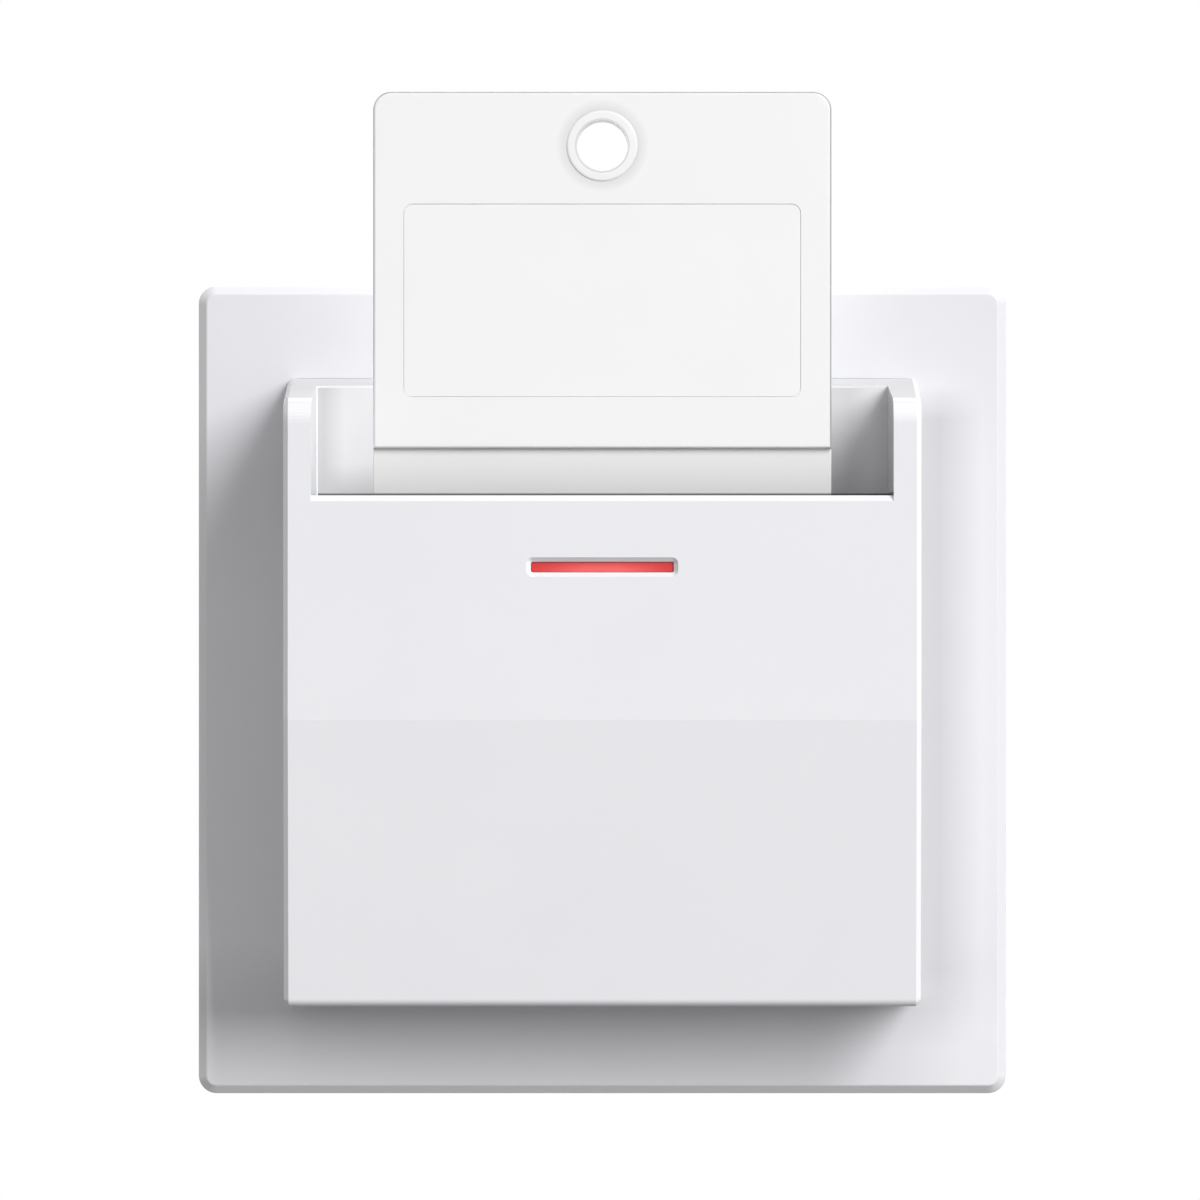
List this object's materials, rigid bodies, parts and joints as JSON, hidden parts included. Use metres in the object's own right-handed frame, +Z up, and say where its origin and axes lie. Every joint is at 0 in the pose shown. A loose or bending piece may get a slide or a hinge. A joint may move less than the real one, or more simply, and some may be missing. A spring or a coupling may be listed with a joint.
{
  "type": "hotel key card switch",
  "caption": "Flush wall switch worked by a key card: square frame, box cover with an open card pocket and a red light window, yoke, claws and switch housing.",
  "frame": {"origin": "on the wall surface, halfway between the yoke's fixing slots", "axes": "+X right, +Y into the wall, +Z up; the card and the light window face -Y"},
  "size_m": [0.081, 0.0465, 0.0993],
  "materials": {
    "white_gloss": "polished white thermoplastic",
    "red_lens": "clear red, see-through",
    "card_white": "satin white card plastic",
    "label_white": "plain writing surface",
    "guide_white": "satin moulded plastic",
    "lever_grey": "slippery grey plastic",
    "housing_grey": "fine satin moulded plastic",
    "yoke_steel": "zinc plated sheet",
    "spring_steel": "bright drawn spring steel",
    "screw_steel": "zinc plated",
    "claw_steel": "zinc plated pressed steel",
    "contact_brass": "pressed brass",
    "contact_silver": "silver alloy",
    "board_green": "lacquered circuit board",
    "led_red": "clear red resin",
    "resistor_tan": "lacquered"
  },
  "bodies": {
    "housing": {"decorative_frame": "white_gloss", "front_cover": "white_gloss", "indicator_lens": "red_lens", "card_guide": "guide_white", "guide_screws": "screw_steel", "leaf_springs": "spring_steel", "lever_pin": "spring_steel", "lever_spring": "spring_steel", "mounting_yoke": "yoke_steel", "switch_cap": "housing_grey", "switch_base": "housing_grey", "cap_screws": "screw_steel", "fixed_tip": "contact_silver", "contact_pin": "spring_steel", "contact_spring": "spring_steel", "line_terminal": "contact_brass", "load_terminal": "contact_brass", "neutral_terminal": "contact_brass", "clamp_plates": "screw_steel", "terminal_screws": "screw_steel", "lamp_board": "board_green", "lamp_led": "led_red", "lamp_resistor": "resistor_tan", "lamp_pins": "contact_brass", "claw_pins": "spring_steel"},
    "key_card": {"card_blade": "card_white", "card_grip": "card_white", "card_label": "label_white"},
    "lever": {"card_lever": "lever_grey"},
    "plunger_body": {"plunger": "lever_grey"},
    "contact_arm": {"moving_contact": "contact_brass", "moving_tip": "contact_silver"},
    "screw_right": {"claw_screw_right": "screw_steel"},
    "nut_right": {"claw_nut_right": "contact_brass"},
    "claw_arm_right": {"claw_right": "claw_steel"},
    "screw_left": {"claw_screw_left": "screw_steel"},
    "nut_left": {"claw_nut_left": "contact_brass"},
    "claw_arm_left": {"claw_left": "claw_steel"}
  },
  "joints": [
    {"name": "card_slide", "type": "slide", "parent": "housing", "child": "key_card", "axis": [0, 0, 1], "range_m": [0, 0.062]},
    {"name": "lever_swing", "type": "hinge", "parent": "housing", "child": "lever", "pos_m": [0, -0.011, -0.004], "axis": [-1, 0, 0], "range_deg": [0, 6.5], "stiffness_Nm_per_rad": 0.02, "springref_deg": 17.19, "deforming": ["lever_spring"]},
    {"name": "plunger_slide", "type": "slide", "parent": "housing", "child": "plunger_body", "axis": [0, -1, 0], "range_m": [0, 0.0008]},
    {"name": "contact_swing", "type": "hinge", "parent": "housing", "child": "contact_arm", "pos_m": [0, -0.0015, 0.01], "axis": [-1, 0, 0], "range_deg": [0, 1.75], "stiffness_Nm_per_rad": 0.005, "springref_deg": 11.46, "deforming": ["contact_spring"]},
    {"name": "claw_screw_turn_right", "type": "hinge", "parent": "housing", "child": "screw_right", "pos_m": [0.0258, 0, -0.008], "axis": [0, 1, 0], "range_deg": [0, 1174]},
    {"name": "claw_nut_travel_right", "type": "slide", "parent": "housing", "child": "nut_right", "axis": [0, -1, 0], "range_m": [0, 0.00163]},
    {"name": "claw_swing_right", "type": "hinge", "parent": "housing", "child": "claw_arm_right", "pos_m": [0.0221, 0.006, -0.008], "axis": [0, 0, -1], "range_deg": [0, 28]},
    {"name": "claw_screw_turn_left", "type": "hinge", "parent": "housing", "child": "screw_left", "pos_m": [-0.0258, 0, -0.008], "axis": [0, 1, 0], "range_deg": [0, 1174]},
    {"name": "claw_nut_travel_left", "type": "slide", "parent": "housing", "child": "nut_left", "axis": [0, -1, 0], "range_m": [0, 0.00163]},
    {"name": "claw_swing_left", "type": "hinge", "parent": "housing", "child": "claw_arm_left", "pos_m": [-0.0221, 0.006, -0.008], "axis": [0, 0, 1], "range_deg": [0, 28]}
  ],
  "couplings": [
    {"joint": "lever_swing", "follows": "card_slide", "rad_per_m": 1.8297},
    {"joint": "plunger_slide", "follows": "card_slide", "ratio": 0.0129},
    {"joint": "contact_swing", "follows": "card_slide", "rad_per_m": 0.4926},
    {"joint": "claw_screw_turn_right", "follows": "claw_nut_travel_right", "rad_per_m": 12566},
    {"joint": "claw_swing_right", "follows": "claw_nut_travel_right", "rad_per_m": 299.8},
    {"joint": "claw_screw_turn_left", "follows": "claw_nut_travel_left", "rad_per_m": 12566},
    {"joint": "claw_swing_left", "follows": "claw_nut_travel_left", "rad_per_m": 299.8}
  ]
}
